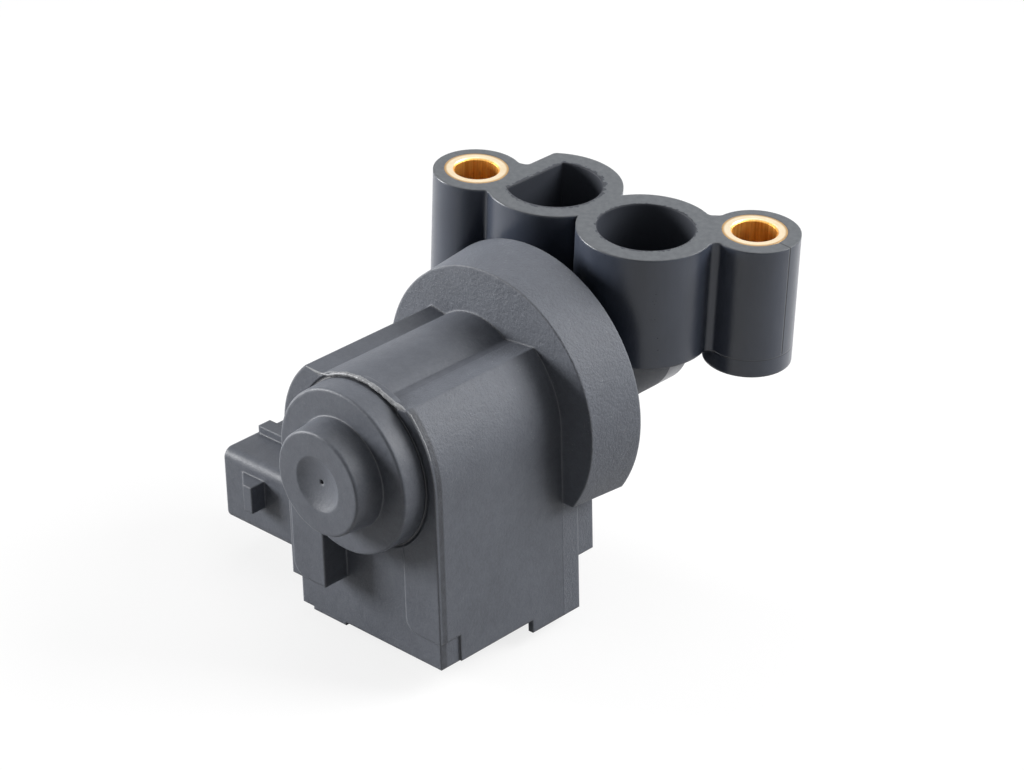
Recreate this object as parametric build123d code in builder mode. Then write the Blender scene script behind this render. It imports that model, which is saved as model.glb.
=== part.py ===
"""Rotary idle air control valve with two ports, a twin-coil motor and a three-blade connector.

Frame: the origin is midway between the two bolt holes on the sealing face, +Z points out of
that face, and the motor's axis runs along Y with its closed end towards -Y. The motor's case
is turned a few degrees about that axis, away from square with the sealing face.
"""
import os
from math import asin, cos, degrees, radians, sin, sqrt

from build123d import *

os.makedirs("parts", exist_ok=True)

# Driving dimensions, in millimetres and degrees

# Sealing face and bolts
BOLT_PCD = 43.4
BOLT_ROW_ANGLE = 21.0
BUSH_OD = 9.5
BUSH_ID = 6.5
BUSH_CHAMFER = 0.3
BOSS_R = 6.55
BOSS_SHIFT = (0.35, -0.15)
BOSS_H = 20.4

# Ports
PORT_Y = -3.0
PORT_R = 7.1
PORT_WALL = 3.0
PORT_MERGE = 1.1
PORT_FLAT = 3.9
PORT_FLOOR_Z = -15.7
PORT_SHELL_H = 17.7
WEB_HALF = 4.2
WEB_FILLET = 0.9
WEB_FILLET_SHARE = 0.73
WINDOW_X = 7.0

# Motor axis and the case's turn about it
MOTOR_Z = -23.4
CASE_TURN = 4.3

# Valve chamber
CHAMBER_R = 7.8
CHAMBER_WALL = 1.7
CHAMBER_END_Y = 9.2
CHAMBER_END_WALL = 1.5
CHAMBER_END_ROUND = 1.2
PLATE_R = 18.6
PLATE_T = 1.8
PLATE_BOTTOM = -11.2
SPIGOT_R = 10.6
SPIGOT_L = 3.5
SEAL_WIRE_R = 0.8
SEAL_SQUEEZE = 0.3
SEAL_GROOVE_W = 2.2
STOP_RIB_T = 1.0
STOP_RIB_SPAN = 14.0
STOP_RIB_GAP = 1.0
STOP_RIB_L = 4.0

# Case
CASE_FRONT_Y = -50.0
CASE_BACK_Y = -21.9
CASE_X = -1.0
CASE_Z = -0.2
CASE_R = 15.3
CASE_TOP = 11.2
SADDLE_X = -2.4
SADDLE_HALF = 5.9
SADDLE_TOP = 12.7
SADDLE_VALLEY = 10.7
SHOULDER_ANGLE = 66.0
LOWER_LEFT_X = -14.4
LOWER_LEFT_Z = -24.4
CASE_BOTTOM = -28.6
CASE_WALL = 1.7
FOOT_DROP = 2.1
FOOT_FRONT_Y = -31.7
STRIP_DROP = 0.5
STRIP_X = (-12.2, -5.4)
STRIP_BACK_Y = -47.0
PANEL_X = 7.5
PANEL_Z = -24.3
PANEL_STEP = 0.3
PANEL_ROUND = 2.0
BAND_BACK_Y = -46.3
ROOF_T = 1.9
WAY_IN_R = 9.0

# Collar that joins the case to the valve body
COLLAR_FRONT_Y = -25.0
COLLAR_BACK_Y = -15.8
COLLAR_FRONT_R = 20.2
COLLAR_BACK_R = 21.1
COLLAR_CUT_Z = -12.0
COLLAR_FIT = 0.1
COLLAR_CORE_R = (12.6, 18.2)
COLLAR_CORE_Y = -21.3
COLLAR_CORE_Z = -10.4
COLLAR_RIB_T = 1.2
COLLAR_RIBS = 6
BLOCK_BACK_Y = -18.0
BLOCK_INSET = 0.8
BLOCK_BOTTOM = -22.7

# Closed end of the case
DISC_R = 12.45
DISC_FRONT_Y = -54.35
CAP_R = 7.9
CAP_FRONT_Y = -58.93
CAP_DRAFT_R = 0.45
DISC_ROUND = 0.4
DIMPLE_R = 4.2
DIMPLE_DEPTH = 0.9
GATE_R = 0.35
GATE_DEPTH = 0.8
DISC_DRAFT_R = 0.15
DISC_CORE_R = (8.2, 10.9)
DISC_CORE_Y = -52.6
POCKET_Y = -56.7
PAD_X = (-11.0, -4.6)
PAD_BOTTOM = -20.5
PAD_ROUND = 2.4

# Connector
SHROUD_END_X = -34.2
SHROUD_FRONT_Y = -46.5
SHROUD_W = 21.4
SHROUD_H = 11.8
SHROUD_Z = -17.9
SHROUD_WALL = 1.2
SHROUD_ROUND = 1.5
SOCKET_DEPTH = 13.5
KEY_RIB_W = 2.3
KEY_RIB_H = 1.3
KEY_RIB_L = 9.0
KEY_RIB_OFFSET = 2.8
KEY_RIB_SETBACK = 0.3
LATCH_X = (-30.4, -27.4, -25.6)
LATCH_Z = (-18.7, -14.4)
LATCH_H = 2.6
BLADES = 3
BLADE_PITCH = 5.0
BLADE_W = 2.8
BLADE_T = 0.8
BLADE_TIP_GAP = 4.3
BLADE_ROOT_X = -13.6
BLADE_TAPER = 0.8

# Stator
STACK_L = 12.0
STACK_Y = -36.2
BORE_R = 8.0
STACK_GAP = 1.0
RING_TOP_GAP = 0.1
LIMB_W = 4.2
CORE_Z = -20.2
CORE_H = 5.0
NECK_W = 3.0
NECK_T = 0.9

# Coil
BOBBIN_WALL = 0.8
BOBBIN_FLANGE_T = 0.8
BOBBIN_CLEAR = 0.1
BOBBIN_LIP = 0.2
WINDING_D = 3.0
WINDING_ROUND = 2.0

# Base cover
COVER_T = 1.6
COVER_FIT = 0.1
COVER_LEDGE = 0.8
COVER_EDGE = 0.3

# Rotor
SHAFT_R = 2.0
SHAFT_CHAMFER = 0.3
SHAFT_Y = (-56.1, 6.4)
MAGNET_R = 7.5
MAGNET_BORE_R = 4.8
MAGNET_L = 13.0
HUB_L = 17.0
HUB_NECK_R = 3.2
SLIDE_GAP = 0.2
SLIDE_T = 1.5
SLIDE_SPAN = 58.0
SLIDE_REST = 54.0
SLIDE_FRONT_Y = -12.0
SLIDE_BACK_Y = 6.0
SLIDE_HUB_R = 3.4
SLIDE_WEB_T = 1.6
TURN_DOWN = 15.0
TURN_UP = 45.0

# Ball bearings
BEARING_R = 6.5
BEARING_W = 5.0
PITCH_R = 4.25
BALL_R = 1.19
BALLS = 7
RACE_CLEAR = 0.03
SHOULDER = 0.72
CAGE_HALF_T = 0.42
CAGE_W = 3.4
CAGE_POCKET_CLEAR = 0.1
FRONT_BEARING_Y = -23.9
REAR_BEARING_Y = -53.4
BEARING_RELIEF = 0.3
BEARING_RELIEF_R = 4.6
WASHER_T = 0.3
WASHER_R = (5.2, 6.3)
CARRIER_T = 2.6
CARRIER_HUB_R = 8.4
CARRIER_SPIGOT = 1.5
CARRIER_SHAFT_CLEAR = 0.4
CARRIER_FIT = 0.1

# Directions and planes of the case, which is turned about the motor's axis
TURN = radians(CASE_TURN)
ACROSS = Vector(cos(TURN), 0, sin(TURN))
UP = Vector(-sin(TURN), 0, cos(TURN))
AXIS_POINT = Vector(0, 0, MOTOR_Z)
MOTOR_AXIS = Axis(origin=(0, 0, MOTOR_Z), direction=(0, 1, 0))
# Half-plane below the motor's axis: local x is along Y, local y is the radius
AXIAL = Plane(origin=(0, 0, MOTOR_Z), x_dir=(0, 1, 0), z_dir=(-1, 0, 0))


def case_plane(y):
    """Plane across the motor's axis: local x is across the case, local y is up it."""
    return Plane(origin=(0, y, MOTOR_Z), x_dir=ACROSS, z_dir=(0, -1, 0))


def side_plane(x):
    """Plane that faces the connector's mouth: local x is -Y, local y is up the case."""
    return Plane(origin=AXIS_POINT + ACROSS * x, x_dir=(0, -1, 0), z_dir=-ACROSS)


def floor_plane(z):
    """Plane that faces down out of the case: local x is across, local y is -Y."""
    return Plane(origin=AXIS_POINT + UP * z, x_dir=ACROSS, z_dir=-UP)


def chamber_plane(y):
    """Plane across the motor's axis, square with the sealing face: local y is straight up."""
    return Plane(origin=(0, y, MOTOR_Z), x_dir=(1, 0, 0), z_dir=(0, -1, 0))


def polar(radius, angle):
    """Point of a chamber plane at an angle from straight up, turning towards +X."""
    return (radius * sin(radians(angle)), radius * cos(radians(angle)))


def sector(inner, outer, start, span):
    """Part of a ring, as a sketch to add on a chamber plane."""
    middle = start + span / 2
    end = start + span
    with BuildSketch(Plane.XY) as piece:
        with BuildLine():
            Line(polar(inner, start), polar(outer, start))
            ThreePointArc(polar(outer, start), polar(outer, middle), polar(outer, end))
            Line(polar(outer, end), polar(inner, end))
            ThreePointArc(polar(inner, end), polar(inner, middle), polar(inner, start))
        make_face()
    return piece.sketch


def ball_at(y, angle):
    """Centre of a bearing's ball."""
    run, rise = polar(PITCH_R, angle)
    return (run, y, MOTOR_Z + rise)


def finish(piece, name):
    """Label a finished piece and write its file."""
    piece.part.label = name
    export_step(piece.part, f"parts/{name}.step")
    print(f"{name:18}{len(piece.solids()):3} solid {piece.part.volume:10.1f} mm3")


# Bolt and port positions on the sealing face
BOLT = (BOLT_PCD / 2 * cos(radians(BOLT_ROW_ANGLE)), BOLT_PCD / 2 * sin(radians(BOLT_ROW_ANGLE)))
SIDES = {"right": 1, "left": -1}
PORT_SHELL_R = PORT_R + PORT_WALL
PORT_X = PORT_SHELL_R - PORT_MERGE
PORT_FLAT_X = -PORT_X - PORT_FLAT
CHAMBER_OUT_R = CHAMBER_R + CHAMBER_WALL
SPIGOT_FRONT_Y = COLLAR_BACK_Y - SPIGOT_L
SEAL_Y = COLLAR_BACK_Y - SPIGOT_L / 2
SEAL_FLOOR_R = SPIGOT_R + COLLAR_FIT - 2 * SEAL_WIRE_R + SEAL_SQUEEZE

# The slide's drum at rest, and the stops just past the ends of its travel
SLIDE_R = CHAMBER_R - SLIDE_GAP
SLIDE_START = SLIDE_REST - SLIDE_SPAN / 2
STOP_DOWN_ANGLE = SLIDE_START - TURN_DOWN - STOP_RIB_GAP
STOP_UP_ANGLE = SLIDE_START + SLIDE_SPAN + TURN_UP + STOP_RIB_GAP

# The room inside the case
ROOM_FRONT_Y = CASE_FRONT_Y + CASE_WALL
ROOM_BACK_Y = CASE_BACK_Y - CASE_WALL
ROOM_X = (LOWER_LEFT_X + CASE_WALL, CASE_X + CASE_R - CASE_WALL)
ROOM_TOP = CASE_TOP - ROOF_T
COVER_TOP = CASE_BOTTOM + COVER_T
STACK_FRONT_Y = STACK_Y - STACK_L / 2
RING_R = CASE_R - CASE_WALL - abs(CASE_X) - STACK_GAP
RING_TOP = ROOM_TOP - RING_TOP_GAP
SHROUD_Y = SHROUD_FRONT_Y + SHROUD_W / 2
DIMPLE_SPHERE_R = (DIMPLE_R**2 + DIMPLE_DEPTH**2) / (2 * DIMPLE_DEPTH)

# The bobbin's end and the section of its tube, and the bearings' seats
BOBBIN_END = RING_R - LIMB_W - BOBBIN_CLEAR
TUBE = (STACK_L + 2 * (BOBBIN_CLEAR + BOBBIN_WALL), CORE_H + 2 * (BOBBIN_CLEAR + BOBBIN_WALL))
FRONT_SEAT = (FRONT_BEARING_Y - BEARING_W / 2, FRONT_BEARING_Y + BEARING_W / 2)
REAR_SEAT = (REAR_BEARING_Y - BEARING_W / 2, REAR_BEARING_Y + BEARING_W / 2)


def bolt_at(side):
    return (side * BOLT[0], side * BOLT[1])


def boss_at(side):
    return (side * BOLT[0] + BOSS_SHIFT[0], side * BOLT[1] + BOSS_SHIFT[1])


def port_at(side):
    return (side * PORT_X, PORT_Y)


def web_angle(side):
    """Direction from a port to its own bolt, in degrees."""
    run = Vector(*bolt_at(side)) - Vector(*port_at(side))
    return degrees(asin(run.Y / run.length)) if run.X > 0 else 180 - degrees(asin(run.Y / run.length))


# Valve body: bolt bosses, two port barrels, the valve chamber and its flange plate, one moulding
with BuildSketch(Plane.XY) as body_outline:
    for side in SIDES.values():
        with Locations(Location((*port_at(side), 0), (0, 0, 90 + side * 90))):
            Circle(PORT_SHELL_R)
    # The left barrel is flat outside, parallel to the flat of its D port
    with Locations((PORT_FLAT_X - PORT_WALL, PORT_Y)):
        Rectangle(
            PORT_SHELL_R, 2 * PORT_SHELL_R, align=(Align.MAX, Align.CENTER), mode=Mode.SUBTRACT
        )
    for side in SIDES.values():
        angle = web_angle(side)
        with Locations(Location((*boss_at(side), 0), (0, 0, angle + 180))):
            Circle(BOSS_R)
        middle = (Vector(*bolt_at(side)) + Vector(*port_at(side))) * 0.5
        length = (Vector(*bolt_at(side)) - Vector(*port_at(side))).length
        with Locations(Location((middle.X, middle.Y, 0), (0, 0, angle))):
            Rectangle(length, 2 * WEB_HALF)
    # The corners are rounded, but by no more than their shortest wall leaves room for
    corners = body_outline.vertices().filter_by(lambda v: abs(v.X) > PORT_X)
    shortest = min(edge.length for edge in body_outline.edges())
    fillet(corners, min(WEB_FILLET, WEB_FILLET_SHARE * shortest))

with BuildPart() as valve_body:
    with BuildSketch(Plane.XY):
        add(body_outline.sketch)
    extrude(amount=-PORT_SHELL_H)
    with BuildSketch(Plane.XY.offset(-PORT_SHELL_H)):
        with Locations(*[boss_at(side) for side in SIDES.values()]):
            Circle(BOSS_R)
    extrude(amount=-(BOSS_H - PORT_SHELL_H))
    # The chamber's tube with its round end, and the spigot that enters the collar
    with BuildSketch(AXIAL):
        with BuildLine():
            Polyline(
                (CHAMBER_END_Y - CHAMBER_END_ROUND, CHAMBER_OUT_R),
                (COLLAR_BACK_Y, CHAMBER_OUT_R),
                (COLLAR_BACK_Y, SPIGOT_R),
                (SPIGOT_FRONT_Y, SPIGOT_R),
                (SPIGOT_FRONT_Y, 0),
                (CHAMBER_END_Y, 0),
                (CHAMBER_END_Y, CHAMBER_OUT_R - CHAMBER_END_ROUND),
            )
            RadiusArc(
                (CHAMBER_END_Y, CHAMBER_OUT_R - CHAMBER_END_ROUND),
                (CHAMBER_END_Y - CHAMBER_END_ROUND, CHAMBER_OUT_R),
                CHAMBER_END_ROUND,
            )
        make_face()
    revolve(axis=MOTOR_AXIS)
    # The plate that closes the collar's back, cut flat below like the collar
    with BuildSketch(case_plane(COLLAR_BACK_Y)):
        Circle(PLATE_R)
        with Locations((0, PLATE_BOTTOM)):
            Rectangle(2 * PLATE_R, PLATE_R, align=(Align.CENTER, Align.MAX), mode=Mode.SUBTRACT)
    extrude(amount=-PLATE_T)
    # Inside: the chamber, the two ports and the windows that join them
    with BuildSketch(AXIAL):
        with Locations((SPIGOT_FRONT_Y, 0)):
            Rectangle(
                CHAMBER_END_Y - CHAMBER_END_WALL - SPIGOT_FRONT_Y, CHAMBER_R,
                align=(Align.MIN, Align.MIN),
            )
    revolve(axis=MOTOR_AXIS, mode=Mode.SUBTRACT)
    with BuildSketch(Plane.XY):
        with Locations(port_at(1), port_at(-1)):
            Circle(PORT_R)
        with Locations((PORT_FLAT_X, PORT_Y)):
            Rectangle(PORT_R, 2 * PORT_R, align=(Align.MAX, Align.CENTER), mode=Mode.SUBTRACT)
    extrude(amount=PORT_FLOOR_Z, mode=Mode.SUBTRACT)
    with BuildSketch(Plane.XY.offset(PORT_FLOOR_Z)):
        with Locations(port_at(1), port_at(-1)):
            Circle(PORT_R)
        Rectangle(2 * WINDOW_X, 4 * PORT_R, mode=Mode.INTERSECT)
    extrude(amount=MOTOR_Z - PORT_FLOOR_Z, mode=Mode.SUBTRACT)
    # The seal's groove round the spigot
    with BuildSketch(AXIAL):
        with Locations((SEAL_Y, SEAL_FLOOR_R)):
            Rectangle(SEAL_GROOVE_W, SPIGOT_R, align=(Align.CENTER, Align.MIN))
    revolve(axis=MOTOR_AXIS, mode=Mode.SUBTRACT)
    with BuildSketch(Plane.XY):
        with Locations(*[bolt_at(side) for side in SIDES.values()]):
            Circle(BUSH_OD / 2)
    extrude(amount=-BOSS_H, mode=Mode.SUBTRACT)
    # Two ribs in the chamber that stop the slide at the ends of its travel
    for start in (STOP_DOWN_ANGLE - STOP_RIB_SPAN, STOP_UP_ANGLE):
        with BuildSketch(chamber_plane(SLIDE_BACK_Y)):
            add(sector(CHAMBER_R - STOP_RIB_T, CHAMBER_R + CHAMBER_WALL / 2, start, STOP_RIB_SPAN))
        extrude(amount=STOP_RIB_L)
finish(valve_body, "valve_body")


# Brass bushes moulded into the bolt bosses
for name, side in SIDES.items():
    with BuildPart() as bush:
        with BuildSketch(Plane.XY):
            with Locations(bolt_at(side)):
                Circle(BUSH_OD / 2)
                Circle(BUSH_ID / 2, mode=Mode.SUBTRACT)
        extrude(amount=-BOSS_H)
        chamfer(bush.edges().filter_by(GeomType.CIRCLE).sort_by(SortBy.RADIUS)[:2], BUSH_CHAMFER)
    finish(bush, f"bush_{name}")


# Seal between the spigot and the collar's bore, squeezed in its groove
with BuildPart() as body_seal:
    with BuildSketch(AXIAL):
        height = SPIGOT_R + COLLAR_FIT - SEAL_FLOOR_R
        with Locations((SEAL_Y, SEAL_FLOOR_R + height / 2)):
            RectangleRounded(2 * SEAL_WIRE_R + SEAL_SQUEEZE / 2, height, SEAL_WIRE_R - SEAL_SQUEEZE)
    revolve(axis=MOTOR_AXIS)
finish(body_seal, "body_seal")


# Motor housing: case, collar, closed end and connector socket, one moulding
with BuildSketch(Plane.XY) as case_outline:
    crown_half = sqrt(CASE_R**2 - (CASE_TOP - CASE_Z) ** 2)
    shoulder = CASE_R * sin(radians(SHOULDER_ANGLE)), CASE_R * cos(radians(SHOULDER_ANGLE))
    right = CASE_X + CASE_R
    left = CASE_X - CASE_R
    with BuildLine():
        Polyline(
            (left, CASE_Z),
            (left, LOWER_LEFT_Z),
            (LOWER_LEFT_X, LOWER_LEFT_Z),
            (LOWER_LEFT_X, CASE_BOTTOM),
            (right, CASE_BOTTOM),
            (right, CASE_Z),
        )
        ThreePointArc(
            (right, CASE_Z),
            (CASE_X + shoulder[0], CASE_Z + shoulder[1]),
            (CASE_X + crown_half, CASE_TOP),
        )
        Line((CASE_X + crown_half, CASE_TOP), (SADDLE_X + SADDLE_HALF, SADDLE_VALLEY))
        ThreePointArc(
            (SADDLE_X + SADDLE_HALF, SADDLE_VALLEY),
            (SADDLE_X, SADDLE_TOP),
            (SADDLE_X - SADDLE_HALF, SADDLE_VALLEY),
        )
        Line((SADDLE_X - SADDLE_HALF, SADDLE_VALLEY), (CASE_X - crown_half, CASE_TOP))
        ThreePointArc(
            (CASE_X - crown_half, CASE_TOP),
            (CASE_X - shoulder[0], CASE_Z + shoulder[1]),
            (left, CASE_Z),
        )
    make_face()

with BuildPart() as motor_housing:
    # The collar first, a cone cut flat below
    with BuildSketch(AXIAL):
        with BuildLine():
            Polyline(
                (COLLAR_FRONT_Y, 0),
                (COLLAR_FRONT_Y, COLLAR_FRONT_R),
                (COLLAR_BACK_Y, COLLAR_BACK_R),
                (COLLAR_BACK_Y, 0),
                close=True,
            )
        make_face()
    revolve(axis=MOTOR_AXIS)
    split(bisect_by=floor_plane(COLLAR_CUT_Z), keep=Keep.BOTTOM)
    with BuildSketch(case_plane(CASE_FRONT_Y)):
        add(case_outline.sketch)
    extrude(amount=CASE_FRONT_Y - CASE_BACK_Y)
    # The foot at the back and the strip at the front, below the case
    with BuildSketch(floor_plane(CASE_BOTTOM)):
        with Locations((LOWER_LEFT_X, -CASE_BACK_Y)):
            Rectangle(
                right - LOWER_LEFT_X, CASE_BACK_Y - FOOT_FRONT_Y, align=(Align.MIN, Align.MIN)
            )
    extrude(amount=FOOT_DROP)
    with BuildSketch(floor_plane(CASE_BOTTOM)):
        with Locations((STRIP_X[0], -CASE_FRONT_Y)):
            Rectangle(
                STRIP_X[1] - STRIP_X[0], STRIP_BACK_Y - CASE_FRONT_Y, align=(Align.MIN, Align.MAX)
            )
    extrude(amount=STRIP_DROP)
    # The block behind the case, under the collar
    with BuildSketch(case_plane(BLOCK_BACK_Y)):
        with Locations((CASE_X, BLOCK_BOTTOM)):
            Rectangle(
                2 * (CASE_R - BLOCK_INSET), COLLAR_CUT_Z - BLOCK_BOTTOM,
                align=(Align.CENTER, Align.MIN),
            )
    extrude(amount=BLOCK_BACK_Y - CASE_BACK_Y)
    # The closed end: disc, bearing cap, dimple and gate pit
    with BuildSketch(AXIAL) as closed_end:
        with BuildLine():
            Polyline(
                (ROOM_FRONT_Y, 0),
                (ROOM_FRONT_Y, DISC_R + DISC_DRAFT_R),
                (CASE_FRONT_Y, DISC_R + DISC_DRAFT_R),
                (DISC_FRONT_Y, DISC_R),
                (DISC_FRONT_Y, CAP_R + CAP_DRAFT_R),
                (CAP_FRONT_Y, CAP_R),
                (CAP_FRONT_Y, 0),
                close=True,
            )
        make_face()
        fillet(closed_end.vertices().group_by(Axis.X)[1].sort_by(Axis.Y)[-1], DISC_ROUND)
        fillet(closed_end.vertices().group_by(Axis.X)[0].sort_by(Axis.Y)[-1], DISC_ROUND)
    revolve(axis=MOTOR_AXIS)
    with BuildSketch(case_plane(CASE_FRONT_Y)) as pad:
        with Locations((PAD_X[0], PAD_BOTTOM)):
            Rectangle(PAD_X[1] - PAD_X[0], -PAD_BOTTOM, align=(Align.MIN, Align.MIN))
        fillet(pad.vertices().sort_by(lambda v: v.X + v.Y)[0], PAD_ROUND)
        Circle(DISC_R - DISC_ROUND, mode=Mode.SUBTRACT)
    extrude(amount=CASE_FRONT_Y - DISC_FRONT_Y)
    with Locations((0, CAP_FRONT_Y + DIMPLE_DEPTH - DIMPLE_SPHERE_R, MOTOR_Z)):
        Sphere(DIMPLE_SPHERE_R, mode=Mode.SUBTRACT)
    with BuildSketch(case_plane(CAP_FRONT_Y + DIMPLE_DEPTH + GATE_DEPTH)):
        Circle(GATE_R)
    extrude(amount=DIMPLE_DEPTH + GATE_DEPTH, mode=Mode.SUBTRACT)
    # The proud panel on the end face and the shallow band on the side
    with BuildSketch(case_plane(CASE_FRONT_Y)) as panel:
        add(case_outline.sketch)
        with Locations((PANEL_X, PANEL_Z)):
            Rectangle(CASE_R, 2 * CASE_R - PANEL_Z, align=(Align.MIN, Align.MIN), mode=Mode.INTERSECT)
        fillet(panel.vertices().sort_by(lambda v: v.X + v.Y)[0], PANEL_ROUND)
        Circle(DISC_R, mode=Mode.SUBTRACT)
    extrude(amount=PANEL_STEP)
    with BuildSketch(case_plane(CASE_FRONT_Y)):
        with Locations((right, CASE_BOTTOM)):
            Rectangle(2 * PANEL_STEP, PANEL_Z - CASE_BOTTOM, align=(Align.CENTER, Align.MIN))
    extrude(amount=CASE_FRONT_Y - BAND_BACK_Y, mode=Mode.SUBTRACT)
    # The connector's shroud with its keying ribs and latch wedges
    with BuildSketch(side_plane(SHROUD_END_X)):
        with Locations((-SHROUD_Y, SHROUD_Z)):
            RectangleRounded(SHROUD_W, SHROUD_H, SHROUD_ROUND)
    extrude(amount=SHROUD_END_X - left - CASE_WALL / 2)
    with BuildSketch(side_plane(SHROUD_END_X + KEY_RIB_SETBACK)):
        with Locations((-SHROUD_Y - KEY_RIB_OFFSET, SHROUD_Z), (-SHROUD_Y + KEY_RIB_OFFSET, SHROUD_Z)):
            Rectangle(KEY_RIB_W, SHROUD_H / 2 + KEY_RIB_H, align=(Align.CENTER, Align.MIN))
    extrude(amount=-KEY_RIB_L)
    with BuildSketch(floor_plane(LATCH_Z[1])):
        for out in (1, -1):
            wall = -SHROUD_Y + out * SHROUD_W / 2
            root = wall - out * SHROUD_WALL / 2
            with BuildLine():
                Polyline(
                    (LATCH_X[0], root),
                    (LATCH_X[0], wall),
                    (LATCH_X[1], wall + out * LATCH_H),
                    (LATCH_X[2], wall + out * LATCH_H),
                    (LATCH_X[2], root),
                    close=True,
                )
            make_face()
    extrude(amount=LATCH_Z[1] - LATCH_Z[0])
    with BuildSketch(side_plane(SHROUD_END_X)):
        with Locations((-SHROUD_Y, SHROUD_Z)):
            RectangleRounded(
                SHROUD_W - 2 * SHROUD_WALL, SHROUD_H - 2 * SHROUD_WALL, SHROUD_ROUND - SHROUD_WALL
            )
    extrude(amount=-SOCKET_DEPTH, mode=Mode.SUBTRACT)
    # The room inside the case, open below, with a ledge for the cover
    with BuildSketch(case_plane(ROOM_FRONT_Y)):
        with Locations((CASE_X, CASE_Z)):
            Circle(CASE_R - CASE_WALL)
        with Locations((ROOM_X[0], CASE_Z)):
            Rectangle(ROOM_X[1] - ROOM_X[0], CASE_Z - CASE_BOTTOM, align=(Align.MIN, Align.MAX))
        with Locations((0, ROOM_TOP)):
            Rectangle(3 * CASE_R, CASE_R, align=(Align.CENTER, Align.MIN), mode=Mode.SUBTRACT)
        with Locations((left + CASE_WALL, CASE_Z)):
            Rectangle(CASE_R, CASE_Z - LOWER_LEFT_Z - CASE_WALL, align=(Align.MIN, Align.MAX))
    extrude(amount=ROOM_FRONT_Y - ROOM_BACK_Y, mode=Mode.SUBTRACT)
    with BuildSketch(floor_plane(COVER_TOP)):
        with Locations(((ROOM_X[0] + ROOM_X[1]) / 2, -(ROOM_FRONT_Y + ROOM_BACK_Y) / 2)):
            Rectangle(
                ROOM_X[1] - ROOM_X[0] + 2 * COVER_LEDGE, ROOM_BACK_Y - ROOM_FRONT_Y + 2 * COVER_LEDGE
            )
    extrude(amount=COVER_T + FOOT_DROP, mode=Mode.SUBTRACT)
    # Bearing pocket and the hollow round it in the closed end
    with BuildSketch(AXIAL):
        with Locations((ROOM_FRONT_Y, 0)):
            Rectangle(ROOM_FRONT_Y - POCKET_Y, BEARING_R, align=(Align.MAX, Align.MIN))
        with Locations((ROOM_FRONT_Y, DISC_CORE_R[0])):
            Rectangle(
                ROOM_FRONT_Y - DISC_CORE_Y, DISC_CORE_R[1] - DISC_CORE_R[0],
                align=(Align.MAX, Align.MIN),
            )
        # The way in for the rotor, and the bore that takes the carrier and the spigot
        with Locations((ROOM_BACK_Y, 0)):
            Rectangle(CASE_WALL, WAY_IN_R, align=(Align.MIN, Align.MIN))
        with Locations((CASE_BACK_Y, 0)):
            Rectangle(
                COLLAR_BACK_Y - CASE_BACK_Y, SPIGOT_R + COLLAR_FIT, align=(Align.MIN, Align.MIN)
            )
    revolve(axis=MOTOR_AXIS, mode=Mode.SUBTRACT)
    # Hollows between ribs in the back of the collar, and in the block below it
    with BuildSketch(case_plane(COLLAR_BACK_Y)):
        Circle(COLLAR_CORE_R[1])
        Circle(COLLAR_CORE_R[0], mode=Mode.SUBTRACT)
        with Locations((0, COLLAR_CORE_Z)):
            Rectangle(3 * COLLAR_BACK_R, COLLAR_BACK_R, align=(Align.CENTER, Align.MAX), mode=Mode.SUBTRACT)
        with PolarLocations(0, COLLAR_RIBS):
            Rectangle(COLLAR_BACK_R, COLLAR_RIB_T, align=(Align.MIN, Align.CENTER), mode=Mode.SUBTRACT)
    extrude(amount=COLLAR_BACK_Y - COLLAR_CORE_Y, mode=Mode.SUBTRACT)
    # Slots round the terminals, which the housing is moulded over
    with BuildSketch(side_plane(SHROUD_END_X)):
        with GridLocations(BLADE_PITCH, 1, BLADES, 1):
            with Locations((-SHROUD_Y, SHROUD_Z)):
                Rectangle(BLADE_W, BLADE_T)
    extrude(amount=SHROUD_END_X - ROOM_X[0], mode=Mode.SUBTRACT)
finish(motor_housing, "motor_housing")


# Cover that closes the case from below
with BuildPart() as base_cover:
    with BuildSketch(floor_plane(COVER_TOP)):
        with Locations(((ROOM_X[0] + ROOM_X[1]) / 2, -(ROOM_FRONT_Y + ROOM_BACK_Y) / 2)):
            Rectangle(
                ROOM_X[1] - ROOM_X[0] + 2 * (COVER_LEDGE - COVER_FIT),
                ROOM_BACK_Y - ROOM_FRONT_Y + 2 * (COVER_LEDGE - COVER_FIT),
            )
    extrude(amount=COVER_T)
    chamfer(base_cover.edges().group_by(Axis.Z)[0], COVER_EDGE)
finish(base_cover, "base_cover")


# Stator: a laminated frame with a ring round the rotor and two limbs down to the coil's core
with BuildPart() as pole_frame:
    with BuildSketch(case_plane(STACK_FRONT_Y)):
        Circle(RING_R)
        with Locations((0, CORE_Z - CORE_H / 2)):
            Rectangle(2 * RING_R, CORE_H / 2 - CORE_Z, align=(Align.CENTER, Align.MIN))
            Rectangle(
                2 * (RING_R - LIMB_W), CORE_H / 2 - CORE_Z - RING_R,
                align=(Align.CENTER, Align.MIN), mode=Mode.SUBTRACT,
            )
        Circle(BORE_R, mode=Mode.SUBTRACT)
        # Narrow necks above and below the rotor keep the two poles apart
        with Locations((0, RING_TOP)):
            Rectangle(2 * RING_R, RING_R, align=(Align.CENTER, Align.MIN), mode=Mode.SUBTRACT)
        with Locations((0, -RING_R)):
            Rectangle(NECK_W, 2 * (RING_R - BORE_R - NECK_T), mode=Mode.SUBTRACT)
    extrude(amount=-STACK_L)
finish(pole_frame, "pole_frame")

# The bar of the stator that the coils sit on
with BuildPart() as core_bar:
    with BuildSketch(case_plane(STACK_FRONT_Y)):
        with Locations((0, CORE_Z)):
            Rectangle(2 * (RING_R - LIMB_W), CORE_H)
    extrude(amount=-STACK_L)
finish(core_bar, "core_bar")


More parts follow.
